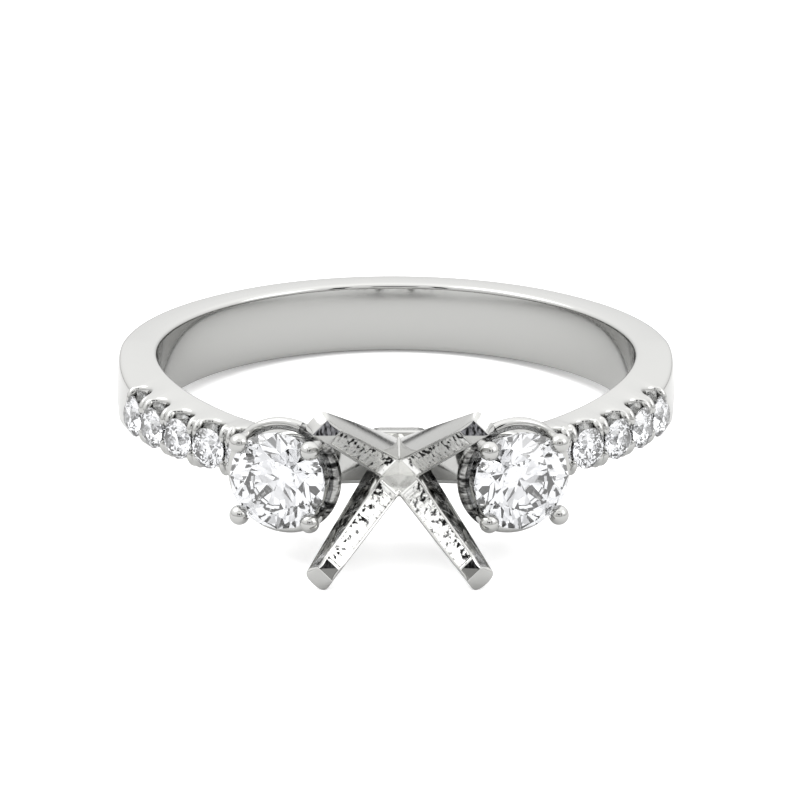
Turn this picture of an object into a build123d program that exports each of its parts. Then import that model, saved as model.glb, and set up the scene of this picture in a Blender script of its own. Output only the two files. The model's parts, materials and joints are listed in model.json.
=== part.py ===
from build123d import *
import os
from math import asin, atan2, cos, degrees, hypot, radians, sin, sqrt

# A three stone engagement ring sold as a semi-mount: the polished white gold mount carries two round
# side stones and a row of small accent stones in each shoulder, and its centre head stands empty.
# Millimetres. The ring is modelled about its finger hole: Z is the axis of the hole and the heads
# point toward -Y. Each head, stone and cut is made upright, its height measured from the axis of the
# finger hole, and is then turned to its angle on the ring. At the end the whole ring is tipped as
# it lies on a table, on its two lower claws and the back of the band. The origin stays in the middle
# of the finger hole.

# Band
FINGER_RADIUS = 8.45
BAND_WIDTH = 2.6
BAND_THICKNESS = 1.43
CROWN_RISE = 0.28
TAPER_START = 0.8
WAIST_START = 7.4
WAIST_WIDTH = 1.44
BRIDGE_THICKNESS = 0.6
EDGE_ROUND = 0.2

# The sloping flanks of the shoulders, which make the row of accent stones narrower than the band
FLANK_ANGLE = 72.0
FLANK_OUTER_WIDTH = 1.74
FLANK_INNER_WIDTH = 2.42

# Gaps between stone and metal, so that each stone stays a piece of its own
STONE_CLEARANCE = 0.02

# Proportions of a round brilliant, as shares of its diameter
TABLE_SHARE = 0.56
CROWN_SHARE = 0.155
GIRDLE_SHARE = 0.03
PAVILION_SHARE = 0.43
STAR_TIP_SHARE = 0.82
LOWER_HALF_SHARE = 0.24

# Side stones and their four-claw baskets, left and right of the centre head
SIDE_DIAMETER = 3.4
SIDE_ANGLE = 20.3
SIDE_GIRDLE_RISE = 3.4
SIDE_CLAW_RADIUS = 0.25
SIDE_TIP_RADIUS = 0.33
SIDE_TIP_OVERLAP = 0.245
SIDE_TIP_RISE = 0.25
SIDE_RAIL_WIDTH = 0.4
SIDE_RAIL_CORNER = 0.15
SIDE_RAIL_DROP = 0.74
SIDE_RAIL_GAP = 0.12
SIDE_BASE_RISE = 0.95
SIDE_BASE_REACH = 1.05
SIDE_FOOT_REACH = 0.85
SIDE_FOOT_DEPTH = 0.2

# Accent stones, set in cuts across the shoulders and held by beads between them
ACCENTS_PER_SHOULDER = 5
ACCENT_DIAMETER = 1.44
ACCENT_GAP = 0.09
ACCENT_START_GAP = 0.5
ACCENT_RISE = 0.06
CUT_WIDTH = 1.0
CUT_DEPTH = 0.46
BEAD_RADIUS = 0.17
BEAD_ROW = 0.56
BEAD_LENGTH = 0.16
BEAD_SPACING = 0.32
BEAD_RISE = 0.16
BEAD_ROOT = 0.5

# Centre head: a square collar on the bridge and four claws that spread from it in an X
COLLAR_WIDTH = 2.12
COLLAR_CORNER = 0.5
COLLAR_THICKNESS = 0.5
CLAW_AZIMUTH = 45.0
CLAW_FOOT_BEYOND_AXIS = 0.25
CLAW_FOOT_RADIUS = 0.3
CLAW_FOOT_HEIGHT = 0.5
CLAW_INNER_FOOT_HEIGHT = 1.6
CLAW_SHOULDER_HEIGHT = 4.83
CLAW_INNER_SHOULDER_DROP = 0.22
CLAW_INNER_RADIUS = 3.01
CLAW_DEPTH = 1.09
CLAW_FOOT_HALF_WIDTH = 0.75
CLAW_INNER_HALF_WIDTH = 0.31
CLAW_OUTER_HALF_WIDTH = 0.46
CLAW_TIP_HEIGHT = 0.42
CLAW_TIP_BEVEL = 0.45
CLAW_TIP_INNER_BEVEL = 0.58
CLAW_EDGE_ROUND = 0.24
CHANNEL_RIM = 0.11
CHANNEL_DEPTH = 0.08
CHANNEL_START = 0.32
CHANNEL_END = 0.15

# Worked out from the sizes above
OUTER_RADIUS = FINGER_RADIUS + BAND_THICKNESS
EDGE_RADIUS = OUTER_RADIUS - CROWN_RISE
BRIDGE_FRONT = FINGER_RADIUS + BRIDGE_THICKNESS
SIDE_GIRDLE_HEIGHT = FINGER_RADIUS + SIDE_GIRDLE_RISE
ACCENT_GIRDLE_HEIGHT = OUTER_RADIUS + ACCENT_RISE
ACCENT_PITCH = degrees((ACCENT_DIAMETER + ACCENT_GAP) / ACCENT_GIRDLE_HEIGHT)
FIRST_ACCENT_ARC = SIDE_FOOT_REACH + ACCENT_START_GAP + ACCENT_DIAMETER / 2
FIRST_ACCENT_ANGLE = SIDE_ANGLE + degrees(FIRST_ACCENT_ARC / ACCENT_GIRDLE_HEIGHT)
CLAW_OUTER_RADIUS = CLAW_INNER_RADIUS + CLAW_DEPTH
SIDES = {"left": -1, "right": 1}


def on_ring(shape, angle):
    """An upright shape turned to its angle on the ring, measured from the centre head toward +X."""
    outward = (sin(radians(angle)), -cos(radians(angle)), 0)
    along = (cos(radians(angle)), sin(radians(angle)), 0)
    return Plane(origin=(0, 0, 0), x_dir=along, z_dir=outward).location * shape


def faceted_solid(loops):
    """A closed solid with one flat face for each loop of points."""
    faces = [Face(Wire.make_polygon(loop, close=True)) for loop in loops]
    return Solid(Shell(faces))


def accent_angles():
    return [FIRST_ACCENT_ANGLE + ACCENT_PITCH * place for place in range(ACCENTS_PER_SHOULDER)]


def stone_corners(diameter, girdle_height):
    """Radius and height of each kind of corner of a round brilliant, table up."""
    half_turn = cos(radians(22.5))
    girdle = diameter / 2
    table = TABLE_SHARE * girdle
    star = STAR_TIP_SHARE * girdle
    lower = LOWER_HALF_SHARE * girdle
    crown = CROWN_SHARE * diameter
    pavilion = PAVILION_SHARE * diameter
    bottom = girdle_height - GIRDLE_SHARE * diameter
    return {
        "table": (table, girdle_height + crown),
        "star": (star, girdle_height + crown * (girdle - star * half_turn) / (girdle - table)),
        "upper_girdle": (girdle, girdle_height),
        "lower_girdle": (girdle, bottom),
        "lower_half": (lower, bottom - pavilion * (girdle - lower * half_turn) / girdle),
        "culet": (0, bottom - pavilion),
    }


def brilliant(diameter, girdle_height):
    """A round brilliant: 8 stars, 8 kites, 16 upper halves, 16 lower halves and 8 mains."""
    corners = stone_corners(diameter, girdle_height)

    def point(kind, step):
        radius, height = corners[kind]
        turn = radians(22.5 * step)
        return (radius * cos(turn), radius * sin(turn), height)

    culet = point("culet", 0)
    loops = [[point("table", 2 * k) for k in range(8)]]
    for k in range(0, 16, 2):
        tip = point("star", k + 1)
        last_tip = point("star", k - 1)
        low = point("lower_half", k + 1)
        last_low = point("lower_half", k - 1)
        loops.append([point("table", k), tip, point("table", k + 2)])
        loops.append([point("table", k), last_tip, point("upper_girdle", k), tip])
        loops.append([culet, low, point("lower_girdle", k), last_low])
        for far in (k, k + 2):
            loops.append([tip, point("upper_girdle", far), point("upper_girdle", k + 1)])
            loops.append([low, point("lower_girdle", far), point("lower_girdle", k + 1)])
    for k in range(16):
        wall = [point("upper_girdle", k), point("upper_girdle", k + 1)]
        wall += [point("lower_girdle", k + 1), point("lower_girdle", k)]
        loops.append(wall)
    return faceted_solid(loops)


def seat(diameter, girdle_height):
    """The room that a stone takes out of the metal: its corners turned round, and the stone clearance."""
    corners = stone_corners(diameter, girdle_height)
    outline = [(0, 0, corners["culet"][1] - STONE_CLEARANCE)]
    for kind in ("lower_half", "lower_girdle"):
        radius, height = corners[kind]
        outline.append((0, radius + STONE_CLEARANCE, height - STONE_CLEARANCE))
    for kind in ("upper_girdle", "star", "table"):
        radius, height = corners[kind]
        outline.append((0, radius + STONE_CLEARANCE, height + STONE_CLEARANCE))
    outline.append((0, 0, corners["table"][1] + STONE_CLEARANCE))
    return revolve(make_face(Polyline(*outline, close=True)), Axis.Z)


def rod(start, end, radius):
    """A round wire between two points."""
    run = Vector(end) - Vector(start)
    place = Plane(origin=start, z_dir=run)
    return place.location * Cylinder(radius, run.length, align=(Align.CENTER, Align.CENTER, Align.MIN))


def band():
    """The shank: a crowned band turned about the finger hole, narrowed to the waist and the flat bridge."""
    half_width = BAND_WIDTH / 2
    crown = ThreePointArc((EDGE_RADIUS, half_width), (OUTER_RADIUS, 0), (EDGE_RADIUS, -half_width))
    inside = Polyline(
        (EDGE_RADIUS, half_width),
        (FINGER_RADIUS, half_width),
        (FINGER_RADIUS, -half_width),
        (EDGE_RADIUS, -half_width),
    )
    ring = revolve(Plane.XZ * make_face([crown, inside]), Axis.Z)

    waist = WAIST_WIDTH / 2
    upper = TangentArc((-TAPER_START, half_width), (-WAIST_START, waist), tangent=(-1, 0))
    lower = TangentArc((-TAPER_START, -half_width), (-WAIST_START, -waist), tangent=(-1, 0))
    behind = Polyline(
        (-TAPER_START, half_width),
        (OUTER_RADIUS, half_width),
        (OUTER_RADIUS, -half_width),
        (-TAPER_START, -half_width),
    )
    bridge = Polyline(
        (-WAIST_START, waist),
        (-BRIDGE_FRONT, waist),
        (-BRIDGE_FRONT, -waist),
        (-WAIST_START, -waist),
    )
    side_view = Plane.YZ * make_face([upper, lower, behind, bridge])
    ring &= extrude(side_view, OUTER_RADIUS, both=True)
    return fillet(ring.edges(), EDGE_ROUND)


def flank_cuts():
    """The metal above and below the accent stones that the sloping flanks take away.

    Past the last stones each cut runs straight on, so that it fades out as the band curves away from it.
    """
    outline = Polyline(
        (FINGER_RADIUS, FLANK_INNER_WIDTH / 2),
        (OUTER_RADIUS, FLANK_OUTER_WIDTH / 2),
        (OUTER_RADIUS + BAND_THICKNESS, FLANK_OUTER_WIDTH / 2),
        (OUTER_RADIUS + BAND_THICKNESS, BAND_WIDTH),
        (FINGER_RADIUS, BAND_WIDTH),
        close=True,
    )
    left, right = (Rot(Z=-90 + sign * FLANK_ANGLE) * Plane.XZ * make_face(outline) for sign in (-1, 1))
    upper = revolve(left, Axis.Z, revolution_arc=2 * FLANK_ANGLE)
    upper += [extrude(left, OUTER_RADIUS), extrude(right, -OUTER_RADIUS)]
    return [upper, mirror(upper, Plane.XY)]


def accent_cut():
    """The U-shaped cut that runs across the shoulder under one accent stone."""
    floor_height = ACCENT_GIRDLE_HEIGHT - CUT_DEPTH
    centre = floor_height + CUT_WIDTH / 2
    across = Rot(X=90) * Cylinder(CUT_WIDTH / 2, BAND_WIDTH)
    mouth = Box(CUT_WIDTH, BAND_WIDTH, CUT_WIDTH, align=(Align.CENTER, Align.CENTER, Align.MIN))
    return Pos(0, 0, centre) * (across + mouth)


def bead_group():
    """The four beads on one wall between two accent stones, each a little longer across the band."""
    ball_height = OUTER_RADIUS + BEAD_RISE - BEAD_RADIUS
    top = Sphere(BEAD_RADIUS) + Pos(0, BEAD_LENGTH, 0) * Sphere(BEAD_RADIUS)
    top += Rot(X=-90) * Cylinder(BEAD_RADIUS, BEAD_LENGTH, align=(Align.CENTER, Align.CENTER, Align.MIN))
    root_plan = SlotCenterToCenter(BEAD_LENGTH, 2 * BEAD_RADIUS, rotation=90)
    root = Pos(0, BEAD_LENGTH / 2, -BEAD_ROOT) * extrude(root_plan, BEAD_ROOT)
    bead = Pos(0, BEAD_ROW, ball_height) * (top + root)
    pair = [Pos(x * BEAD_SPACING / 2, 0, 0) * bead for x in (-1, 1)]
    return pair + [mirror(one, Plane.XZ) for one in pair]


def rail(reach, height):
    """A round rail of a basket, at the given height about the axis of its stone."""
    section = RectangleRounded(SIDE_RAIL_WIDTH, SIDE_RAIL_WIDTH, SIDE_RAIL_CORNER)
    return revolve(Plane.XZ * (Pos(reach, height) * section), Axis.Z)


def side_head():
    """A basket of four round claws with ball tips, a round rail at the stone and a smaller one below."""
    tip_reach = SIDE_DIAMETER / 2 + SIDE_TIP_RADIUS - SIDE_TIP_OVERLAP
    tip_height = SIDE_GIRDLE_HEIGHT + SIDE_TIP_RISE
    rail_height = SIDE_GIRDLE_HEIGHT - SIDE_RAIL_DROP
    foot_height = BRIDGE_FRONT - SIDE_FOOT_DEPTH
    metal = [rail(SIDE_BASE_REACH, BRIDGE_FRONT + SIDE_BASE_RISE)]
    for quarter in range(4):
        azimuth = radians(45 + 90 * quarter)
        tip = (tip_reach * cos(azimuth), tip_reach * sin(azimuth), tip_height)
        knee = (tip_reach * cos(azimuth), tip_reach * sin(azimuth), rail_height)
        foot = (SIDE_FOOT_REACH * cos(azimuth), SIDE_FOOT_REACH * sin(azimuth), foot_height)
        metal.append(Pos(*tip) * Sphere(SIDE_TIP_RADIUS))
        metal.append(Pos(*knee) * Sphere(SIDE_CLAW_RADIUS))
        metal.append(rod(knee, tip, SIDE_CLAW_RADIUS))
        metal.append(rod(foot, knee, SIDE_CLAW_RADIUS))
    return rail(SIDE_DIAMETER / 2 + SIDE_RAIL_GAP, rail_height).fuse(*metal)


def claw_frame():
    """Named heights and radii of one centre claw in its own radial plane."""
    shoulder = FINGER_RADIUS + CLAW_SHOULDER_HEIGHT
    return {
        "foot": FINGER_RADIUS + CLAW_FOOT_HEIGHT,
        "inner_foot": FINGER_RADIUS + CLAW_INNER_FOOT_HEIGHT,
        "outer_shoulder": shoulder,
        "inner_shoulder": shoulder - CLAW_INNER_SHOULDER_DROP,
        "tip": shoulder + CLAW_TIP_HEIGHT,
    }


def claw_half_width(radius, height):
    """Half the claw's width, which falls evenly from the foot to the shoulder along both flanks."""
    levels = claw_frame()
    rise = levels["outer_shoulder"] - levels["foot"]
    per_radius = (CLAW_OUTER_HALF_WIDTH - CLAW_INNER_HALF_WIDTH) / (CLAW_OUTER_RADIUS - CLAW_INNER_RADIUS)
    foot_level = CLAW_FOOT_HALF_WIDTH + per_radius * (CLAW_OUTER_RADIUS - CLAW_FOOT_RADIUS)
    per_height = (foot_level - CLAW_OUTER_HALF_WIDTH) / rise
    from_shoulder = levels["outer_shoulder"] - height
    return CLAW_OUTER_HALF_WIDTH + per_radius * (radius - CLAW_OUTER_RADIUS) + per_height * from_shoulder


def drafted(outline, half_width):
    """A solid whose outline is given as (radius, height) and whose flanks lean as half_width says."""
    near = [(r, -half_width(r, h), h) for r, h in outline]
    far = [(r, half_width(r, h), h) for r, h in outline]
    loops = [near, far[::-1]]
    for k in range(len(outline)):
        n = (k + 1) % len(outline)
        loops.append([near[n], near[k], far[k], far[n]])
    return faceted_solid(loops)


def claw():
    """One centre claw toward +X: a drafted bar with a beveled tip and a channel in its inner face."""
    at = claw_frame()
    inner_foot = (-CLAW_FOOT_BEYOND_AXIS, at["inner_foot"])
    inner_top = (CLAW_INNER_RADIUS, at["inner_shoulder"])
    outer_top = (CLAW_OUTER_RADIUS, at["outer_shoulder"])
    bar_outline = [
        (-CLAW_FOOT_BEYOND_AXIS, at["foot"]),
        (CLAW_FOOT_RADIUS, at["foot"]),
        outer_top,
        (CLAW_OUTER_RADIUS - CLAW_TIP_BEVEL, at["tip"]),
        (CLAW_INNER_RADIUS + CLAW_TIP_INNER_BEVEL, at["tip"]),
        inner_top,
        inner_foot,
    ]
    bar = drafted(bar_outline, claw_half_width)

    run = hypot(inner_top[0] - inner_foot[0], inner_top[1] - inner_foot[1])
    along = ((inner_top[0] - inner_foot[0]) / run, (inner_top[1] - inner_foot[1]) / run)
    into = (along[1], -along[0])
    channel_from = run * CHANNEL_START
    channel_to = run - CHANNEL_END

    def on_inner_face(distance, depth):
        r = inner_foot[0] + along[0] * distance + into[0] * depth
        h = inner_foot[1] + along[1] * distance + into[1] * depth
        return (r, h)

    channel_outline = [
        on_inner_face(channel_from, -CHANNEL_DEPTH),
        on_inner_face(channel_from, CHANNEL_DEPTH),
        on_inner_face(channel_to, CHANNEL_DEPTH),
        on_inner_face(channel_to, -CHANNEL_DEPTH),
    ]
    channel = drafted(channel_outline, lambda r, h: claw_half_width(r, h) - CHANNEL_RIM)
    sharp = bar - channel
    outer_edges = sharp.edges().sort_by(SortBy.LENGTH)[-2:]
    return fillet(outer_edges, CLAW_EDGE_ROUND)


def centre_head():
    """The collar and the four claws, trimmed to the finger hole."""
    collar_plan = RectangleRounded(COLLAR_WIDTH, COLLAR_WIDTH, COLLAR_CORNER)
    reach = COLLAR_WIDTH / 2
    sunk = FINGER_RADIUS - sqrt(FINGER_RADIUS**2 - reach**2)
    collar = Pos(0, 0, FINGER_RADIUS - sunk) * extrude(collar_plan, COLLAR_THICKNESS + sunk)
    one_claw = claw()
    claws = [Rot(Z=CLAW_AZIMUTH + 90 * quarter) * one_claw for quarter in range(4)]
    return collar.fuse(*claws)


def ring_mount():
    """All the metal, cast and soldered into one piece."""
    heads = [on_ring(centre_head(), 0)]
    beads = []
    cuts = []
    seats = []
    for sign in SIDES.values():
        heads.append(on_ring(side_head(), sign * SIDE_ANGLE))
        seats.append(on_ring(seat(SIDE_DIAMETER, SIDE_GIRDLE_HEIGHT), sign * SIDE_ANGLE))
        for angle in accent_angles():
            cuts.append(on_ring(accent_cut(), sign * angle))
            seats.append(on_ring(seat(ACCENT_DIAMETER, ACCENT_GIRDLE_HEIGHT), sign * angle))
            for bead in bead_group():
                beads.append(on_ring(bead, sign * (angle + ACCENT_PITCH / 2)))
    metal = band() - flank_cuts() - cuts
    metal = metal.fuse(*heads) - Cylinder(FINGER_RADIUS, 2 * BAND_WIDTH)
    return metal.fuse(*beads) - seats


def resting_tilt():
    """The angle at which the ring lies on its two lower claws and the back of its band."""
    levels = claw_frame()
    azimuth = radians(CLAW_AZIMUTH)
    claw_reach = CLAW_OUTER_RADIUS * sin(azimuth) + CLAW_OUTER_HALF_WIDTH * cos(azimuth)
    claw_reach -= CLAW_EDGE_ROUND * (sqrt(2) - 1)
    claw_corner = (-levels["outer_shoulder"], -claw_reach)
    rounding = (EDGE_RADIUS - EDGE_ROUND, -(BAND_WIDTH / 2 - EDGE_ROUND))
    run = rounding[0] - claw_corner[0]
    rise = rounding[1] - claw_corner[1]
    return degrees(atan2(rise, run) - asin(EDGE_ROUND / hypot(run, rise)))


def pieces():
    """Every piece of the ring by name, in the ring's own upright frame."""
    found = {"ring_mount": ring_mount()}
    side_stone = brilliant(SIDE_DIAMETER, SIDE_GIRDLE_HEIGHT)
    accent_stone = brilliant(ACCENT_DIAMETER, ACCENT_GIRDLE_HEIGHT)
    for side, sign in SIDES.items():
        found[f"side_stone_{side}"] = on_ring(side_stone, sign * SIDE_ANGLE)
        for place, angle in enumerate(accent_angles(), start=1):
            found[f"accent_stone_{side}_{place}"] = on_ring(accent_stone, sign * angle)
    return found


os.makedirs("parts", exist_ok=True)
lying = Rot(X=-resting_tilt())
for name, shape in pieces().items():
    export_step(lying * shape, f"parts/{name}.step")
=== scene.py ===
import json
import math
import bpy
import numpy as np
from mathutils import Matrix, Vector, noise


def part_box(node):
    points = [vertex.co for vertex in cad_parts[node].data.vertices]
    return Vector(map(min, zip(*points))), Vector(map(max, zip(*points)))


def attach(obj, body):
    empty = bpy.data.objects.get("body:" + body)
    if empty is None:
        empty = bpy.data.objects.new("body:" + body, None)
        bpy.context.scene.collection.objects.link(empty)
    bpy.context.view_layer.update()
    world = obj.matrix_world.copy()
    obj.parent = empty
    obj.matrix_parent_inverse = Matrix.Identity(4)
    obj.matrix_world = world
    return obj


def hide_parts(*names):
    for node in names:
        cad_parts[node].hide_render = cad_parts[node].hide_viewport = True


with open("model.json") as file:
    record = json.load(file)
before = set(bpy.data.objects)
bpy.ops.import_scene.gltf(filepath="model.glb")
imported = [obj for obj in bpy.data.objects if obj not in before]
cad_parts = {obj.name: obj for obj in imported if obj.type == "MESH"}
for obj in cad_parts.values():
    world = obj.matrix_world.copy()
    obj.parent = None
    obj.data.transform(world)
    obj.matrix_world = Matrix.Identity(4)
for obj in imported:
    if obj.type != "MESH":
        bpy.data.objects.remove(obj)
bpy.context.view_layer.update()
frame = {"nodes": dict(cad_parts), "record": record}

# The ring is drawn in millimetres about its finger hole, as in its part: Z along the hole, the centre
# head toward -Y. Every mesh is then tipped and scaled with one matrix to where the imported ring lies.
MM = 0.001
hole_axis = frame["record"]["mounts"][0]["axis"]
TIPPING = math.atan2(hole_axis[1], hole_axis[2])
LYING = Matrix.Rotation(-TIPPING, 4, "X") @ Matrix.Scale(MM, 4)
FLOOR_HEIGHT = min(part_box(node)[0].z for node in frame["nodes"])

# Band
FINGER_RADIUS = 8.45
BAND_HALF_WIDTH = 1.3
OUTER_RADIUS = 9.88
BACK_CROWN = 0.28
SHOULDER_CROWN = 0.1
WAIST_HALF_WIDTH = 0.72
TAPER_START = 0.8
WAIST_START = 7.4
BRIDGE_FRONT = 9.05
EDGE_ROUND = 0.2
# The outer face, with its angles in degrees from the head: as narrow as the row of accent stones, a little
# wider beside the head, full and rounder at the back
CREST_HALF_WIDTH = 0.79
CREST_AT_HEAD = 0.9
CREST_WIDENS_FROM = 55.0
CREST_WIDEST_AT = 35.0
CREST_ENDS_AT = 68.0
CREST_FULL_FROM = 98.0
CROWN_GROWS_FROM = 95
CROWN_GROWS_OVER = 40

# Side stones and accent stones
SIDE_ANGLE = 20.3
SIDE_GIRDLE = 11.85
SIDE_BALL = 0.34
SIDE_WIRE = 0.25
SIDE_REACH = 1.785
SIDE_RAIL_HEIGHT = 11.11
SIDE_RAIL_REACH = 1.82
SIDE_RAIL_HALF = 0.205
SIDE_BASE_REACH = 1.05
SIDE_BASE_HEIGHT = 10.0
SIDE_FOOT_REACH = 0.85
SIDE_FOOT_DEPTH = 0.2
SIDE_KNEE_OUT = 0.05
SIDE_KNEE_DROP = 0.2
SIDE_TIP_RISE = 0.25
SIDE_WIRE_TAPER = 0.08
SIDE_WIRE_POINTS = 26
RAIL_ROUNDNESS = 0.8
# How far a rail face must look toward the centre head to get painted shade
RAIL_SHADE_FROM = 0.35
ACCENT_DIAMETER = 1.44
ACCENT_GIRDLE = 9.94
ACCENT_GAP = 0.09
ACCENT_START_GAP = 0.5
ACCENTS = 5
CUT_WIDTH = 1.05
CUT_DEPTH = 0.62
PITCH = math.degrees((ACCENT_DIAMETER + ACCENT_GAP) / ACCENT_GIRDLE)
FIRST_ARC = SIDE_FOOT_REACH + ACCENT_START_GAP + ACCENT_DIAMETER / 2
FIRST_ACCENT = SIDE_ANGLE + math.degrees(FIRST_ARC / ACCENT_GIRDLE)
BEAD_RADII = (0.165, 0.34, 0.19)
BEAD_SPREAD = 0.14
BEAD_INSET = 0.27
BEAD_DROP = 0.13
BEAD_LEAN = 30
BEAD_SPLAY = 7
WIDEST_BEAD_ROW = 0.98

# What lowers the band's outer face: the bridge, the U-shaped cuts and the stones' seats, each with how far
# its corner with the face is blended
BRIDGE_COSINE = 0.85
BRIDGE_BLEND = 0.05
CUT_REACH = 1.2
CUT_WALL_SLOPE = 40
CUT_BLEND = 0.035
SEAT_DROP = 0.065
SEAT_SLOPE = 0.86
SEAT_WALL_SLOPE = 6
SEAT_BLEND = 0.02
# Where a cut needs sections of the band, in mm from its middle, and the least step between two, in degrees
CUT_SECTIONS = (0, .08, .16, .24, .31, .37, .42, .46, .485, .5, .515, .54, .58, .64, .7)
LEAST_STEP = 0.12

# Centre head: radius and height of the ends of a claw's inner and outer line, and its half widths
CLAW_INNER_FOOT = (-0.25, 10.05)
CLAW_INNER_TOP = (3.01, 13.06)
CLAW_OUTER_FOOT = (0.3, 8.95)
CLAW_OUTER_TOP = (4.1, 13.28)
# The bevels were cut by hand: the ridge of a tip lies farther out on the two claws on top of the lying ring
CLAW_RIDGE = {"upper": (3.78, 13.6), "lower": (3.5, 13.62)}
CLAW_BEVEL_FOOT = {"upper": (3.08, 13.125), "lower": (3.16, 13.199)}
CLAW_HALF_INNER = 0.31
CLAW_HALF_OUTER = 0.46
CLAW_HALF_FOOT = 0.75
CLAW_ROUNDING = 0.24
CLAW_FOOT_ROUNDING = 0.08
CLAW_INNER_ROUNDING = 0.03
CLAW_BEVEL_ROUNDING = 0.07
# The channel in a claw's inner face, which starts and ends at these shares of the claw's length
CHANNEL_RIM = 0.085
CHANNEL_DEPTH = 0.11
CHANNEL_CORNER = 0.012
CHANNEL_START = 0.22
CHANNEL_END = 0.968
# Outside it the channel is as good as flat, but every section keeps the same points
CHANNEL_FLAT = 0.0004
# The painted shade along the upper side of a channel: how many faces wide it is, and how ragged
SHADE_STRIP_FACES = 8.7
SHADE_STRIP_RAGGED = 3.5
COLLAR_HALF = 1.06
COLLAR_CORNER = 0.5
SEAM_RADIUS = 0.06
SEAM_PROUD = 0.01
SEAM_START = 9.45
SEAM_END = 10.66

# Patterns, in mm. A pixel of the render is 0.035 mm wide. Real wheel marks lie about 0.01 mm apart, a cast
# face has pits of about 0.05 mm and a fine file leaves strokes 0.1 mm apart, so all of them are drawn
# coarser than they are. The ripple of a polished face has its real size.
RIPPLE = 1 / 0.9
HAIRLINE = 1 / 9
PIT = 1 / 6
# The size of the streaks in the rails' painted shade
RAIL_SHADE_STREAK = 1 / 2.6
BEVEL_STROKE = 1 / 4.5
# The direction in which a tip's inner bevel goes from even grey to dark streaks, and half the width of the
# change
TOWARD_DARK_STREAKS = Vector((0, 0.29, 0.96))
DARK_STREAKS_BLEND = 0.012


def linear(hex_colour):
    """An sRGB hex colour as the linear RGBA that the shaders take."""
    parts = [int(hex_colour[i:i + 2], 16) / 255 for i in (1, 3, 5)]
    return tuple(p / 12.92 if p <= 0.04045 else ((p + 0.055) / 1.055) ** 2.4 for p in parts) + (1.0,)


def add(tree, kind, links=None, **settings):
    """A node with its settings; links maps an input's name to the socket that feeds it."""
    node = tree.nodes.new(kind)
    for name, value in settings.items():
        if name in node.inputs:
            node.inputs[name].default_value = value
        else:
            setattr(node, name, value)
    for name, socket in (links or {}).items():
        tree.links.new(socket, node.inputs[name])
    return node


def pattern_scale(size):
    """The noise scale that gives a pattern its size in mm."""
    return 1 / (size * MM)


def new_material(name):
    material = bpy.data.materials.new(name)
    material.use_nodes = True
    material.node_tree.nodes.clear()
    return material, material.node_tree


def white_gold(name, colour, smooth, dull):
    """Rhodium-plated white gold: a bright metal with the faint ripple and hairlines that the last wheel or
    tumbling leaves, its roughness between smooth and dull."""
    material, tree = new_material(name)
    place = add(tree, "ShaderNodeTexCoord")
    where = {"Vector": place.outputs["Object"]}
    ripple = add(tree, "ShaderNodeTexNoise", where, Scale=pattern_scale(RIPPLE), Detail=2.0)
    hairline = add(tree, "ShaderNodeTexNoise", where, Scale=pattern_scale(HAIRLINE), Detail=3.0)
    span = {"From Min": 0.35, "From Max": 0.65, "To Min": smooth, "To Max": dull}
    rough = add(tree, "ShaderNodeMapRange", {"Value": hairline.outputs["Fac"]}, **span)
    bump = add(tree, "ShaderNodeBump", {"Height": ripple.outputs["Fac"]}, Strength=0.05, Distance=0.00002)
    links = {"Roughness": rough.outputs["Result"], "Normal": bump.outputs["Normal"]}
    shader = add(tree, "ShaderNodeBsdfPrincipled", links, Metallic=1.0)
    shader.inputs["Base Color"].default_value = linear(colour)
    add(tree, "ShaderNodeOutputMaterial", {"Surface": shader.outputs["BSDF"]})
    return material


def two_tones(tree, value, dark, bright, start, end):
    """A colour that goes from dark to bright as a pattern's value goes from start to end."""
    ramp = add(tree, "ShaderNodeValToRGB", {"Fac": value})
    low, high = ramp.color_ramp.elements
    low.position, low.color = start, linear(dark)
    high.position, high.color = end, linear(bright)
    return ramp.outputs["Color"]


def as_cast_white_gold(name, pit_colour, pitted):
    """The same alloy where a wheel can't reach, inside the claws: bright but grainy, with dark pits over the
    pitted share of it. With near-black pits over a larger share, it serves as painted shade."""
    material, tree = new_material(name)
    place = add(tree, "ShaderNodeTexCoord")
    where = {"Vector": place.outputs["Object"]}
    pits = add(tree, "ShaderNodeTexNoise", where, Scale=pattern_scale(PIT), Detail=4.0)
    colour = two_tones(tree, pits.outputs["Fac"], pit_colour, "#EAEAE8", pitted - 0.08, pitted)
    bump = add(tree, "ShaderNodeBump", {"Height": pits.outputs["Fac"]}, Strength=0.6, Distance=0.00003)
    links = {"Base Color": colour, "Normal": bump.outputs["Normal"]}
    shader = add(tree, "ShaderNodeBsdfPrincipled", links, Metallic=1.0, Roughness=0.25)
    add(tree, "ShaderNodeOutputMaterial", {"Surface": shader.outputs["BSDF"]})
    return material


def rail_painted_shade_white_gold():
    """Painted shade on the faces of the rails that look toward the centre head, between the heads: dark and
    streaky, where the polished faces round them are bright."""
    material, tree = new_material("rail_painted_shade_white_gold")
    place = add(tree, "ShaderNodeTexCoord")
    stretch = add(tree, "ShaderNodeMapping", {"Vector": place.outputs["Object"]})
    stretch.inputs["Scale"].default_value = (1.0, 0.6, 3.0)
    where = {"Vector": stretch.outputs["Vector"]}
    strokes = add(tree, "ShaderNodeTexNoise", where, Scale=pattern_scale(RAIL_SHADE_STREAK), Detail=5.0)
    colour = two_tones(tree, strokes.outputs["Fac"], "#262626", "#B4B4B2", 0.4, 0.62)
    bump = add(tree, "ShaderNodeBump", {"Height": strokes.outputs["Fac"]}, Strength=0.5, Distance=0.00003)
    links = {"Base Color": colour, "Normal": bump.outputs["Normal"]}
    shader = add(tree, "ShaderNodeBsdfPrincipled", links, Metallic=1.0, Roughness=0.22)
    add(tree, "ShaderNodeOutputMaterial", {"Surface": shader.outputs["BSDF"]})
    return material


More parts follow.
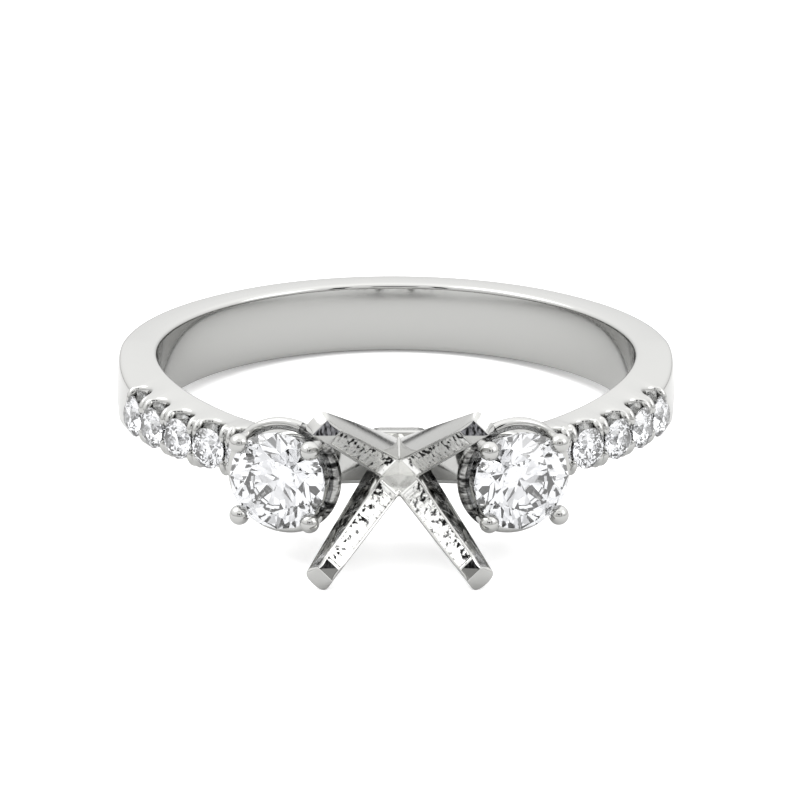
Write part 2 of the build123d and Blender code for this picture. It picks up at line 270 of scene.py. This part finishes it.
def shaded_bevel_white_gold(name, level, dark, bright, smooth):
    """The inner bevel of a claw tip: dark and streaky above a level in ring mm, and an even grey below it.
    The streaks stand for file marks, but the dark tones are painted shade and painted reflection, and the
    lower claws get a darker, more shaded copy."""
    material, tree = new_material(name)
    place = add(tree, "ShaderNodeTexCoord")
    stretch = add(tree, "ShaderNodeMapping", {"Vector": place.outputs["Object"]})
    stretch.inputs["Scale"].default_value = (2.6, 1.0, 0.8)
    where = {"Vector": stretch.outputs["Vector"]}
    strokes = add(tree, "ShaderNodeTexNoise", where, Scale=pattern_scale(BEVEL_STROKE), Detail=4.0)
    streaky_shade = two_tones(tree, strokes.outputs["Fac"], dark, bright, 0.42, 0.62)
    rise = add(tree, "ShaderNodeVectorMath", {0: place.outputs["Object"]}, operation="DOT_PRODUCT")
    rise.inputs[1].default_value = LYING.to_3x3().normalized() @ TOWARD_DARK_STREAKS
    blend = {"From Min": (level - DARK_STREAKS_BLEND) * MM, "From Max": (level + DARK_STREAKS_BLEND) * MM}
    above = add(tree, "ShaderNodeMapRange", {"Value": rise.outputs["Value"]}, **blend)
    colour = add(tree, "ShaderNodeMixRGB", {"Fac": above.outputs["Result"], "Color2": streaky_shade})
    colour.inputs["Color1"].default_value = linear(smooth)
    rough = add(tree, "ShaderNodeMath", {0: above.outputs["Result"]}, operation="MULTIPLY")
    rough.inputs[1].default_value = 0.4
    bump = add(tree, "ShaderNodeBump", {"Height": strokes.outputs["Fac"], "Strength": rough.outputs["Value"]})
    bump.inputs["Distance"].default_value = 0.00003
    links = {"Base Color": colour.outputs["Color"], "Normal": bump.outputs["Normal"]}
    shader = add(tree, "ShaderNodeBsdfPrincipled", links, Metallic=1.0, Roughness=0.2)
    add(tree, "ShaderNodeOutputMaterial", {"Surface": shader.outputs["BSDF"]})
    return material


def diamond():
    """Brilliant cut diamond: clear, with a high index that sends light back in bright and dark facets."""
    material, tree = new_material("diamond")
    shader = add(tree, "ShaderNodeBsdfPrincipled", IOR=2.42, Roughness=0.0)
    shader.inputs["Base Color"].default_value = linear("#FBFCFF")
    shader.inputs["Transmission Weight"].default_value = 1.0
    add(tree, "ShaderNodeOutputMaterial", {"Surface": shader.outputs["BSDF"]})
    return material


# The outside is wheel-polished to a clear mirror, the inside of the shank only tumbled, so it is rougher;
# its slightly darker colour there and under the collar is painted shade.
# Between the roots of the claws the metal is far brighter than the polished outside: painted light.
GOLD = white_gold("polished_white_gold", "#BFBFBD", 0.05, 0.1)
TUMBLED_AND_SHADED = white_gold("tumbled_painted_shade_white_gold", "#B9B9B7", 0.06, 0.12)
ROOT_PAINTED_LIGHT = white_gold("root_painted_light_white_gold", "#EFEFED", 0.14, 0.2)
CAST = as_cast_white_gold("as_cast_white_gold", "#585858", 0.43)
# Painted shade along the upper side of each channel, with a ragged edge
CHANNEL_SHADE = as_cast_white_gold("channel_painted_shade_white_gold", "#161616", 0.52)
# Painted shade for the rail faces that look toward the centre head
RAIL_SHADE = rail_painted_shade_white_gold()
# Painted shade and painted reflection on the tips' inner bevels, darker on the lower claws
SHADED_BEVEL = {
    "upper": shaded_bevel_white_gold("upper_bevel_painted_shade_white_gold", -1.66, "#0E0E0E", "#86868A", "#BEBEBC"),
    "lower": shaded_bevel_white_gold("lower_bevel_painted_shade_white_gold", -6.11, "#050505", "#343434", "#626260"),
}
DIAMOND = diamond()


def on_ring(angle):
    """The matrix that turns an upright thing to its angle on the ring, from the centre head toward +X."""
    turn = math.radians(angle)
    outward = Vector((math.sin(turn), -math.cos(turn), 0))
    along = Vector((math.cos(turn), math.sin(turn), 0))
    across = outward.cross(along)
    return Matrix((along, across, outward)).transposed().to_4x4()


def metal_piece(name, verts, faces, weighted=False, others=()):
    """A shown piece of the mount, polished but for the faces that others gives another material, among
    them painted shade and painted light.
    """
    mesh = bpy.data.meshes.new(name)
    mesh.from_pydata([tuple(v) for v in verts], [], [tuple(int(k) for k in f) for f in faces])
    mesh.validate()
    mesh.transform(LYING)
    mesh.shade_smooth()
    mesh.materials.append(GOLD)
    marks = np.zeros(len(mesh.polygons), int)
    for k, (face_material, marked) in enumerate(others, start=1):
        mesh.materials.append(face_material)
        marks[marked] = k
    mesh.polygons.foreach_set("material_index", marks)
    piece = bpy.data.objects.new(name, mesh)
    bpy.context.scene.collection.objects.link(piece)
    if weighted:
        modifier = piece.modifiers.new("flat_faces", "WEIGHTED_NORMAL")
        modifier.keep_sharp = True
    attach(piece, "root")
    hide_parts("ring_mount")


class Shape:
    """Points and faces of one piece, gathered part by part."""

    def __init__(self):
        self.verts = []
        self.faces = []

    def grid(self, rows, close_rows=False, close_columns=True):
        """Faces between rows of points, each row a loop or a line of the same length."""
        start = len(self.verts)
        count = len(rows[0])
        for row in rows:
            self.verts += list(row)
        last = len(rows) if close_rows else len(rows) - 1
        width = count if close_columns else count - 1
        made = []
        for i in range(last):
            here = start + i * count
            ahead = start + (i + 1) % len(rows) * count
            for k in range(width):
                n = (k + 1) % count
                made.append(len(self.faces))
                self.faces.append((here + k, here + n, ahead + n, ahead + k))
        return start, made

    def cap(self, start, count, flip=False):
        loop = list(range(start, start + count))
        self.faces.append(loop[::-1] if flip else loop)


def rounded(corners, steps=4):
    """A closed loop in which each corner (x, y, reach) becomes a short curve."""
    loop = []
    for k, (x, y, reach) in enumerate(corners):
        here = np.array((x, y))
        if reach == 0:
            loop.append(here)
            continue
        before = np.array(corners[k - 1][:2]) - here
        after = np.array(corners[(k + 1) % len(corners)][:2]) - here
        start = here + before / np.linalg.norm(before) * reach
        end = here + after / np.linalg.norm(after) * reach
        for step in range(steps + 1):
            t = step / steps
            loop.append((1 - t) ** 2 * start + 2 * t * (1 - t) * here + t * t * end)
    return loop


def softer(a, b, blend):
    """The lesser of two heights, with the corner between them rounded."""
    h = np.clip(0.5 + 0.5 * (b - a) / blend, 0, 1)
    return b * (1 - h) + a * h - blend * h * (1 - h)


def accent_angles():
    return [FIRST_ACCENT + PITCH * place for place in range(ACCENTS)]


def side_view_half_width(y):
    """Half the band's width as its side view narrows from the taper start to the waist."""
    run = WAIST_START - TAPER_START
    drop = BAND_HALF_WIDTH - WAIST_HALF_WIDTH
    radius = (run * run + drop * drop) / (2 * drop)
    into = np.clip(-y - TAPER_START, 0, run)
    return BAND_HALF_WIDTH - (radius - np.sqrt(radius * radius - into * into))


def crest_half_width(angle):
    """Half the width of the band's outer face."""
    toward_head = np.clip((CREST_WIDENS_FROM - abs(angle)) / (CREST_WIDENS_FROM - CREST_WIDEST_AT), 0, 1)
    row = CREST_HALF_WIDTH + (CREST_AT_HEAD - CREST_HALF_WIDTH) * toward_head
    back = np.clip((abs(angle) - CREST_ENDS_AT) / (CREST_FULL_FROM - CREST_ENDS_AT), 0, 1)
    return row + (BAND_HALF_WIDTH - row) * back * back * (3 - 2 * back)


def half_width(r, angle):
    """Half the band's width: its flanks run straight from the finger hole's edge to the outer face."""
    inner = side_view_half_width(-FINGER_RADIUS * math.cos(math.radians(angle)))
    out = np.clip((r - FINGER_RADIUS) / (OUTER_RADIUS - FINGER_RADIUS), 0, 1)
    return float(inner + (crest_half_width(angle) - inner) * out)


def crown_rise(angle):
    """How far the band's outer face falls to its edges: nearly flat at the shoulders, rounder at the back."""
    share = np.clip((abs(angle) - CROWN_GROWS_FROM) / CROWN_GROWS_OVER, 0, 1)
    return SHOULDER_CROWN + (BACK_CROWN - SHOULDER_CROWN) * share


def band_top(angle, z):
    """The radius of the band's outer surface, lowered by the bridge, the cuts and the stones' seats."""
    top = OUTER_RADIUS - crown_rise(angle) * (z / BAND_HALF_WIDTH) ** 2
    c = math.cos(math.radians(angle))
    if c > BRIDGE_COSINE:
        top = softer(top, BRIDGE_FRONT / c, BRIDGE_BLEND)
    for place in accent_angles():
        s = math.radians(abs(angle) - place) * ACCENT_GIRDLE
        if abs(s) < CUT_REACH:
            half = CUT_WIDTH / 2
            centre = ACCENT_GIRDLE - CUT_DEPTH + half
            inside = max(half * half - s * s, 0)
            wall = max(abs(s) - half, 0) * CUT_WALL_SLOPE
            top = softer(top, centre - math.sqrt(inside) + wall, CUT_BLEND)
            girdle = ACCENT_DIAMETER / 2
            reach = math.hypot(s, z)
            seat = ACCENT_GIRDLE - SEAT_DROP - (girdle - reach) * SEAT_SLOPE
            seat += max(reach - girdle, 0) * SEAT_WALL_SLOPE
            top = softer(top, seat, SEAT_BLEND)
    return float(top)


def band():
    """The shank in one sweep: sections across the band, closer together at the cuts."""
    angles = set(np.arange(-180, 180, 1.0))
    for place in accent_angles():
        for offset in CUT_SECTIONS:
            for way in (-1, 1):
                for side in (-1, 1):
                    angles.add(side * (place + way * math.degrees(offset / ACCENT_GIRDLE)))
    angles = sorted(angles)
    kept = [angles[0]]
    for angle in angles[1:]:
        if angle - kept[-1] > LEAST_STEP:
            kept.append(angle)
    rows = []
    for angle in kept:
        edge = OUTER_RADIUS - crown_rise(angle)
        for _ in range(4):
            edge = band_top(angle, half_width(edge, angle) - 0.04)
        wide_in = half_width(FINGER_RADIUS, angle)
        wide_out = half_width(edge, angle)
        outer_reach = min(EDGE_ROUND * 0.9, (edge - FINGER_RADIUS) * 0.4)
        flat = (wide_out - outer_reach) * 0.985
        outline = [
            (FINGER_RADIUS, -wide_in, EDGE_ROUND),
            (FINGER_RADIUS, wide_in, EDGE_ROUND),
            (edge, wide_out, outer_reach),
        ]
        outline += [(band_top(angle, z), z, 0) for z in np.linspace(flat, -flat, 23)]
        outline.append((edge, -wide_out, outer_reach))
        section = rounded(outline, 5)
        turn = math.radians(angle)
        rows.append([(r * math.sin(turn), -r * math.cos(turn), z) for r, z in section])
    shape = Shape()
    _, made = shape.grid(rows, close_rows=True)
    # Faces 4 to 6 of a section are the wall of the finger hole
    inside = [f for f in made if 4 <= f % len(rows[0]) <= 6]
    # The finger hole's wall is rougher, and darker by painted shade
    metal_piece("band", shape.verts, [f[::-1] for f in shape.faces], others=((TUMBLED_AND_SHADED, inside),))


def ball(shape, place, radii, turned=None, around=24, along=14):
    """A closed egg about a point, its poles along its own Z."""
    turned = turned or Matrix.Identity(3)
    rows = []
    for i in range(1, along):
        phi = math.pi * i / along
        wide = radii[0] * math.sin(phi)
        deep = radii[1] * math.sin(phi)
        high = radii[2] * math.cos(phi)
        row = []
        for k in range(around):
            theta = 2 * math.pi * k / around
            p = Vector((wide * math.cos(theta), deep * math.sin(theta), high))
            row.append(tuple(turned @ p + place))
        rows.append(row)
    start, _ = shape.grid(rows)
    shape.cap(start, around, True)
    shape.cap(start + (along - 2) * around, around)


def wire(shape, path, radii, around=20):
    """A round wire through points, with a radius at each."""
    rows = []
    guide = Vector((0.3, 0.9, 0.3)).normalized()
    for k, p in enumerate(path):
        ahead = (path[min(k + 1, len(path) - 1)] - path[max(k - 1, 0)]).normalized()
        side = ahead.cross(guide).normalized()
        up = side.cross(ahead)
        row = []
        for t in np.linspace(0, 2 * math.pi, around, endpoint=False):
            row.append(tuple(p + (side * math.cos(t) + up * math.sin(t)) * radii[k]))
        rows.append(row)
    start, _ = shape.grid(rows)
    shape.cap(start, around, False)
    shape.cap(start + (len(path) - 1) * around, around, True)


def curve(points, steps):
    """Points along one smooth bend through a start, a guide and an end."""
    a, b, c = [Vector(p) for p in points]
    return [a * (1 - t) ** 2 + b * 2 * t * (1 - t) + c * t * t for t in np.linspace(0, 1, steps)]


def placed(verts, angle):
    turn = on_ring(angle)
    return [tuple(turn @ Vector(v)) for v in verts]


def basket(side, sign):
    """Four round claws with ball tips, an upper rail under the girdle and a small rail at the foot."""
    shape = Shape()
    shaded_rail_faces = []
    for reach, height in ((SIDE_RAIL_REACH, SIDE_RAIL_HEIGHT), (SIDE_BASE_REACH, SIDE_BASE_HEIGHT)):
        rows = []
        for t in np.linspace(0, 2 * math.pi, 96, endpoint=False):
            row = []
            for p in np.linspace(0, 2 * math.pi, 24, endpoint=False):
                out = math.copysign(abs(math.cos(p)) ** RAIL_ROUNDNESS, math.cos(p))
                up = math.copysign(abs(math.sin(p)) ** RAIL_ROUNDNESS, math.sin(p))
                r = reach + SIDE_RAIL_HALF * out
                row.append((r * math.cos(t), r * math.sin(t), height + SIDE_RAIL_HALF * up))
            rows.append(row)
        _, made = shape.grid(rows, close_rows=True)
        # The rail faces that look toward the centre head get painted shade
        for f in made:
            toward_head = -sign * math.cos(2 * math.pi * (f - made[0]) / len(made))
            if toward_head > RAIL_SHADE_FROM:
                shaded_rail_faces.append(f)
    for quarter in range(4):
        turn = math.radians(45 + 90 * quarter)
        out = Vector((math.cos(turn), math.sin(turn), 0))
        tip = out * SIDE_REACH + Vector((0, 0, SIDE_GIRDLE + SIDE_TIP_RISE))
        knee = out * (SIDE_REACH + SIDE_KNEE_OUT) + Vector((0, 0, SIDE_RAIL_HEIGHT - SIDE_KNEE_DROP))
        foot = out * SIDE_FOOT_REACH + Vector((0, 0, BRIDGE_FRONT - SIDE_FOOT_DEPTH))
        path = curve((foot, knee, tip), SIDE_WIRE_POINTS)
        radii = []
        for k in range(SIDE_WIRE_POINTS):
            radii.append(SIDE_WIRE * (1 - SIDE_WIRE_TAPER + SIDE_WIRE_TAPER * k / (SIDE_WIRE_POINTS - 1)))
        wire(shape, path, radii)
        ball(shape, tip, (SIDE_BALL, SIDE_BALL, SIDE_BALL), around=36, along=22)
    verts = placed(shape.verts, sign * SIDE_ANGLE)
    metal_piece(f"side_basket_{side}", verts, shape.faces, others=((RAIL_SHADE, shaded_rail_faces),))


def accent_beads(side, sign):
    """The split prong ends on the walls beside the accent stones: four between two stones, two at the end."""
    shape = Shape()
    for place in accent_angles():
        local = Shape()
        edge = min(half_width(OUTER_RADIUS - 0.15, place + PITCH / 2), WIDEST_BEAD_ROW)
        last_wall = place == accent_angles()[-1]
        for x in (-sign,) if last_wall else (-1, 1):
            for y in (-1, 1):
                lean = Matrix.Rotation(math.radians(-BEAD_LEAN * y), 3, "X")
                lean = lean @ Matrix.Rotation(math.radians(BEAD_SPLAY * x), 3, "Y")
                centre = Vector((x * BEAD_SPREAD, y * (edge - BEAD_INSET), OUTER_RADIUS - BEAD_DROP))
                ball(local, centre, BEAD_RADII, lean, 24, 16)
        start = len(shape.verts)
        shape.verts += placed(local.verts, sign * (place + PITCH / 2))
        shape.faces += [[k + start for k in f] for f in local.faces]
    metal_piece(f"accent_beads_{side}", shape.verts, shape.faces)


def claw_half_width(r, h):
    """Half a claw's width at a radius and height: wider outward and toward the foot."""
    rise = CLAW_OUTER_TOP[1] - CLAW_OUTER_FOOT[1]
    per_radius = (CLAW_HALF_OUTER - CLAW_HALF_INNER) / (CLAW_OUTER_TOP[0] - CLAW_INNER_TOP[0])
    foot = CLAW_HALF_FOOT + per_radius * (CLAW_OUTER_TOP[0] - CLAW_OUTER_FOOT[0])
    per_height = (foot - CLAW_HALF_OUTER) / rise
    return CLAW_HALF_OUTER + per_radius * (r - CLAW_OUTER_TOP[0]) + per_height * (CLAW_OUTER_TOP[1] - h)


def between(start, end, share):
    return np.array(start) * (1 - share) + np.array(end) * share


def claw_section(inner, outer, inner_rounding, outer_rounding, channel, seed):
    """One loop round a claw: the channel in its inner face, straight flanks and a rounded outer face."""
    length = np.linalg.norm(outer - inner)
    across = (outer - inner) / length
    wide_in = claw_half_width(*inner)
    wide_out = claw_half_width(*outer)
    bed = wide_in - CHANNEL_RIM
    small = min(inner_rounding, length * 0.2)
    corners = [(0, -wide_in, small), (0, -bed, CHANNEL_CORNER), (channel, -bed, CHANNEL_CORNER)]
    for t in np.linspace(-bed * 0.85, bed * 0.85, 9):
        # The bed is rough in two sizes, as the casting left it
        rough = noise.noise(Vector((t * 9, seed * 16, 3.3)))
        rough += 0.6 * noise.noise(Vector((t * 22, seed * 60, 7.7)))
        corners.append((channel * (1 + 0.25 * rough), t, 0))
    corners += [(channel, bed, CHANNEL_CORNER), (0, bed, CHANNEL_CORNER), (0, wide_in, small)]
    reach = min(outer_rounding, length * 0.5)
    for turn in np.linspace(math.pi / 2, -math.pi / 2, 17):
        out = length - reach + reach * abs(math.cos(turn)) ** 0.8
        corners.append((out, wide_out * math.copysign(abs(math.sin(turn)) ** 0.8, math.sin(turn)), 0))
    return [(inner + across * e, t) for e, t in rounded(corners, 4)]


def claw(name, azimuth, row, seed):
    """One centre claw: a drafted bar that ends in a sloped outer facet and a sloped inner facet."""
    sections = []
    along = sorted(set(np.linspace(0, 0.985, 90)) | {0.992, 0.997})
    for u in along:
        inner = between(CLAW_INNER_FOOT, CLAW_BEVEL_FOOT[row], u)
        outer = between(CLAW_OUTER_FOOT, CLAW_OUTER_TOP, u)
        rise = np.clip((u - CHANNEL_START) / 0.03, 0, 1) * np.clip((CHANNEL_END - u) / 0.008, 0, 1)
        near_tip = float(np.clip((u - 0.93) / 0.05, 0, 1))
        inner_rounding = CLAW_INNER_ROUNDING + (CLAW_BEVEL_ROUNDING - CLAW_INNER_ROUNDING) * near_tip
        outer_rounding = CLAW_FOOT_ROUNDING + (CLAW_ROUNDING - CLAW_FOOT_ROUNDING) * u ** 3
        channel = max(CHANNEL_DEPTH * float(rise), CHANNEL_FLAT)
        sections.append(claw_section(inner, outer, inner_rounding, outer_rounding, channel, seed + u * 4.4))
    for w in (0.004, 0.015, 0.04, 0.25, 0.5, 0.75, 0.93, 0.965, 0.985):
        inner = between(CLAW_BEVEL_FOOT[row], CLAW_RIDGE[row], w)
        outer = between(CLAW_OUTER_TOP, CLAW_RIDGE[row], w)
        channel = CHANNEL_FLAT * (1 - w)
        sections.append(claw_section(inner, outer, CLAW_BEVEL_ROUNDING, CLAW_ROUNDING, channel, 0))
    turn = math.radians(azimuth)
    c, s = math.cos(turn), math.sin(turn)
    rows = []
    for section in sections:
        rows.append([(p[0] * c - t * s, p[0] * s + t * c, p[1]) for p, t in section])
    shape = Shape()
    start, made = shape.grid(rows)
    count = len(rows[0])
    shape.cap(start, count, True)
    shape.cap(start + (len(rows) - 1) * count, count)
    # Faces 4 to 33 of a section are the inner face, and 9 to 28 of them are the channel
    first, last = len(along) * CHANNEL_START, len(along) * 0.97
    # Near the foot, where the claws cross, the inner faces get painted light
    root = [f for f in made if f // count <= first and 4 <= f % count <= 33]
    bed = []
    # A ragged strip on the side of the channel that lies upper on the lying ring gets painted shade
    shade_strip = []
    for f in made:
        section, place = divmod(f, count)
        if first < section < last and 9 <= place <= 28:
            from_edge = 28 - place if c > 0 else place - 9
            ragged = SHADE_STRIP_FACES + SHADE_STRIP_RAGGED * noise.noise(Vector((section * 0.35, seed, 1.7)))
            (shade_strip if from_edge < ragged else bed).append(f)
    bevel = [f for f in made if len(along) < f // count < len(along) + 7 and 4 <= f % count <= 33]
    face_materials = ((CAST, bed), (CHANNEL_SHADE, shade_strip), (SHADED_BEVEL[row], bevel), (ROOT_PAINTED_LIGHT, root))
    metal_piece(name, placed(shape.verts, 0), shape.faces, True, face_materials)


def seams(shape):
    """The thin beads of solder in the four valleys between the claws."""
    for quarter in range(4):
        turn = Matrix.Rotation(math.radians(90 * quarter), 3, "Z")
        path = []
        for height in np.linspace(SEAM_START, SEAM_END, 12):
            half = claw_half_width(0, height)
            for _ in range(6):
                half = claw_half_width(half, height)
            path.append(turn @ Vector((math.sqrt(2) * half + SEAM_PROUD, 0, height)))
        wire(shape, path, [SEAM_RADIUS * 0.5] + [SEAM_RADIUS] * 10 + [SEAM_RADIUS * 0.5], 12)


def collar():
    """The rounded square plate that joins the centre claws to the bridge."""
    shape = Shape()
    rows = []
    for height, grow in ((8.2, -0.02), (8.3, 0), (8.88, 0), (8.92, -0.012), (8.945, -0.04), (8.95, -0.08)):
        half = COLLAR_HALF + grow
        corners = [(half * x, half * y, COLLAR_CORNER) for x, y in ((1, 1), (-1, 1), (-1, -1), (1, -1))]
        rows.append([(x, y, height) for x, y in rounded(corners, 10)])
    start, _ = shape.grid(rows)
    count = len(rows[0])
    underside = len(shape.faces)
    shape.cap(start, count, True)
    shape.cap(start + (len(rows) - 1) * count, count)
    seams(shape)
    # Nothing stands into the finger hole
    pushed = []
    for x, y, z in placed(shape.verts, 0):
        grow = max(FINGER_RADIUS / math.hypot(x, y), 1)
        pushed.append((x * grow, y * grow, z))
    # The underside is rougher, and darker by painted shade
    metal_piece("head_collar", pushed, shape.faces, True, ((TUMBLED_AND_SHADED, [underside]),))


band()
for side, sign in (("left", -1), ("right", 1)):
    basket(side, sign)
    accent_beads(side, sign)
collar()
for k, (azimuth, row) in enumerate(((45, "upper"), (135, "upper"), (225, "lower"), (315, "lower"))):
    claw(f"centre_claw_{k + 1}", azimuth, row, 5.1 * k)

for name, node in frame["nodes"].items():
    node.data.materials.clear()
    node.data.materials.append(GOLD if name == "ring_mount" else DIAMOND)

# Studio
FLOOR_REACH = 0.6
SHEET_LIFT = 0.00001
FLOOR_GLOW = 0.3
TENT_STRENGTH = 1.5
# Shares of the way from straight below to straight above, and how grey the paper is there
TENT = (
    (0.0, 0.5),
    (0.497, 0.5),
    (0.502, 0.06),
    (0.51, 0.06),
    (0.524, 0.66),
    (0.62, 0.86),
    (0.8, 1.05),
    (1.0, 1.2),
)


def flat_sheet(name, wide, high, height=0.0):
    """A rectangle that lies at a height, with half its width and length."""
    mesh = bpy.data.meshes.new(name)
    corners = [(wide * x, high * y, height) for x, y in ((-1, -1), (1, -1), (1, 1), (-1, 1))]
    mesh.from_pydata(corners, [], [(0, 1, 2, 3)])
    sheet = bpy.data.objects.new(name, mesh)
    bpy.context.scene.collection.objects.link(sheet)
    return sheet


def paper(name, colour, glow):
    """Matt paper, which gives an even tone with no sheen."""
    material, tree = new_material(name)
    shader = add(tree, "ShaderNodeBsdfPrincipled", Roughness=0.9)
    shader.inputs["Base Color"].default_value = linear(colour)
    shader.inputs["Emission Color"].default_value = linear("#FFFFFF")
    shader.inputs["Emission Strength"].default_value = glow
    add(tree, "ShaderNodeOutputMaterial", {"Surface": shader.outputs["BSDF"]})
    return material


def only_mirrored(thing):
    """Shown in the metal and the stones alone."""
    thing.visible_camera = False
    thing.visible_shadow = False
    thing.visible_diffuse = False


floor = flat_sheet("floor", FLOOR_REACH, FLOOR_REACH, FLOOR_HEIGHT)
floor.data.materials.append(paper("white_paper", "#FAFAFA", FLOOR_GLOW))

# The floor is lit until it burns out to white, as in the photo. What the metal mirrors is a greyer sheet.
sheet = flat_sheet("grey_sheet", FLOOR_REACH, FLOOR_REACH, FLOOR_HEIGHT + SHEET_LIFT)
sheet.data.materials.append(paper("grey_paper", "#DADADA", 0.0))
only_mirrored(sheet)

world = bpy.data.worlds.new("studio")
bpy.context.scene.world = world
world.use_nodes = True
tree = world.node_tree
tree.nodes.clear()
# A paper tent: bright above, greyer toward the camera, with a dark gap where it meets the table.
place = add(tree, "ShaderNodeTexCoord")
split = add(tree, "ShaderNodeSeparateXYZ", {"Vector": place.outputs["Generated"]})
height = add(tree, "ShaderNodeMapRange", {"Value": split.outputs["Z"]}, **{"From Min": -1.0})
ramp = add(tree, "ShaderNodeValToRGB", {"Fac": height.outputs["Result"]})
stops = ramp.color_ramp.elements
while len(stops) < len(TENT):
    stops.new(0.5)
for stop, (position, grey) in zip(stops, TENT):
    stop.position = position
    stop.color = (grey, grey, grey, 1)
span = {"From Min": -1.0, "From Max": 0.1, "To Min": 0.72, "To Max": 1.0}
front = add(tree, "ShaderNodeMapRange", {"Value": split.outputs["Y"]}, **span)
links = {"Vector": ramp.outputs["Color"], "Scale": front.outputs["Result"]}
shade = add(tree, "ShaderNodeVectorMath", links, operation="SCALE")
tent = add(tree, "ShaderNodeBackground", {"Color": shade.outputs["Vector"]}, Strength=TENT_STRENGTH)
add(tree, "ShaderNodeOutputWorld", {"Surface": tent.outputs["Background"]})


def softbox(name, place, size, power):
    """A rectangular lamp that faces the ring."""
    data = bpy.data.lights.new(name, "AREA")
    data.shape = "RECTANGLE"
    data.size, data.size_y = size
    data.energy = power
    lamp = bpy.data.objects.new(name, data)
    lamp.location = place
    lamp.rotation_euler = (-Vector(place)).to_track_quat("-Z", "Y").to_euler()
    bpy.context.scene.collection.objects.link(lamp)


softbox("key_softbox", (-0.22, 0.02, 0.32), (0.26, 0.26), 0.5)
softbox("fill_softbox", (0.28, -0.1, 0.22), (0.2, 0.2), 0.16)


def dark_card(name, place, size):
    """A black card beside the camera, seen only in the metal and the stones."""
    card = flat_sheet(name, size[0] / 2, size[1] / 2)
    card.location = place
    card.rotation_euler = (-Vector(place)).to_track_quat("Z", "Y").to_euler()
    material, tree = new_material(name)
    dull = add(tree, "ShaderNodeBsdfDiffuse", Color=(0.005, 0.005, 0.005, 1))
    add(tree, "ShaderNodeOutputMaterial", {"Surface": dull.outputs["BSDF"]})
    card.data.materials.append(material)
    only_mirrored(card)


dark_card("dark_card_left", (-0.075, -0.17, 0.1), (0.025, 0.1))
dark_card("dark_card_right", (0.09, -0.16, 0.09), (0.03, 0.1))
dark_card("dark_card_top", (0.0, -0.1, 0.2), (0.12, 0.012))
dark_card("camera_board", (0.0, -0.21, 0.11), (0.09, 0.065))

# Camera, fitted to the photo: angles about the ring's own frame, the distance in mm, the photo's scale at
# the finger hole and the pixel at which the middle of the hole lies
ELEVATION = math.radians(17.0)
AZIMUTH = math.radians(-0.67)
ROLL = math.radians(0.21)
DISTANCE = 200.0
PIXELS_PER_MM = 28.19
HOLE_X = 395.8
HOLE_Y = 384.4
PHOTO_SIZE = 800.0
SENSOR_WIDTH = 36.0
level = math.cos(ELEVATION)
back = Vector((math.sin(AZIMUTH) * level, -math.cos(AZIMUTH) * level, math.sin(ELEVATION)))
right = (-back).cross(Vector((0, 0, 1))).normalized()
up = right.cross(-back)
right_rolled = right * math.cos(ROLL) + up * math.sin(ROLL)
up_rolled = up * math.cos(ROLL) - right * math.sin(ROLL)
turn = Matrix.Rotation(-TIPPING, 3, "X")
axes = [turn @ v for v in (right_rolled, up_rolled, back)]
place = turn @ (back * DISTANCE * MM)
camera_data = bpy.data.cameras.new("camera")
camera_data.sensor_width = SENSOR_WIDTH
camera_data.lens = PIXELS_PER_MM * DISTANCE * SENSOR_WIDTH / PHOTO_SIZE
camera_data.shift_x = (PHOTO_SIZE / 2 - HOLE_X) / PHOTO_SIZE
camera_data.shift_y = (HOLE_Y - PHOTO_SIZE / 2) / PHOTO_SIZE
camera_data.clip_start = 0.01
camera = bpy.data.objects.new("camera", camera_data)
camera.matrix_world = Matrix.Translation(place) @ Matrix(axes).transposed().to_4x4()
bpy.context.scene.collection.objects.link(camera)
bpy.context.scene.camera = camera
bpy.context.scene.view_settings.view_transform = "Standard"
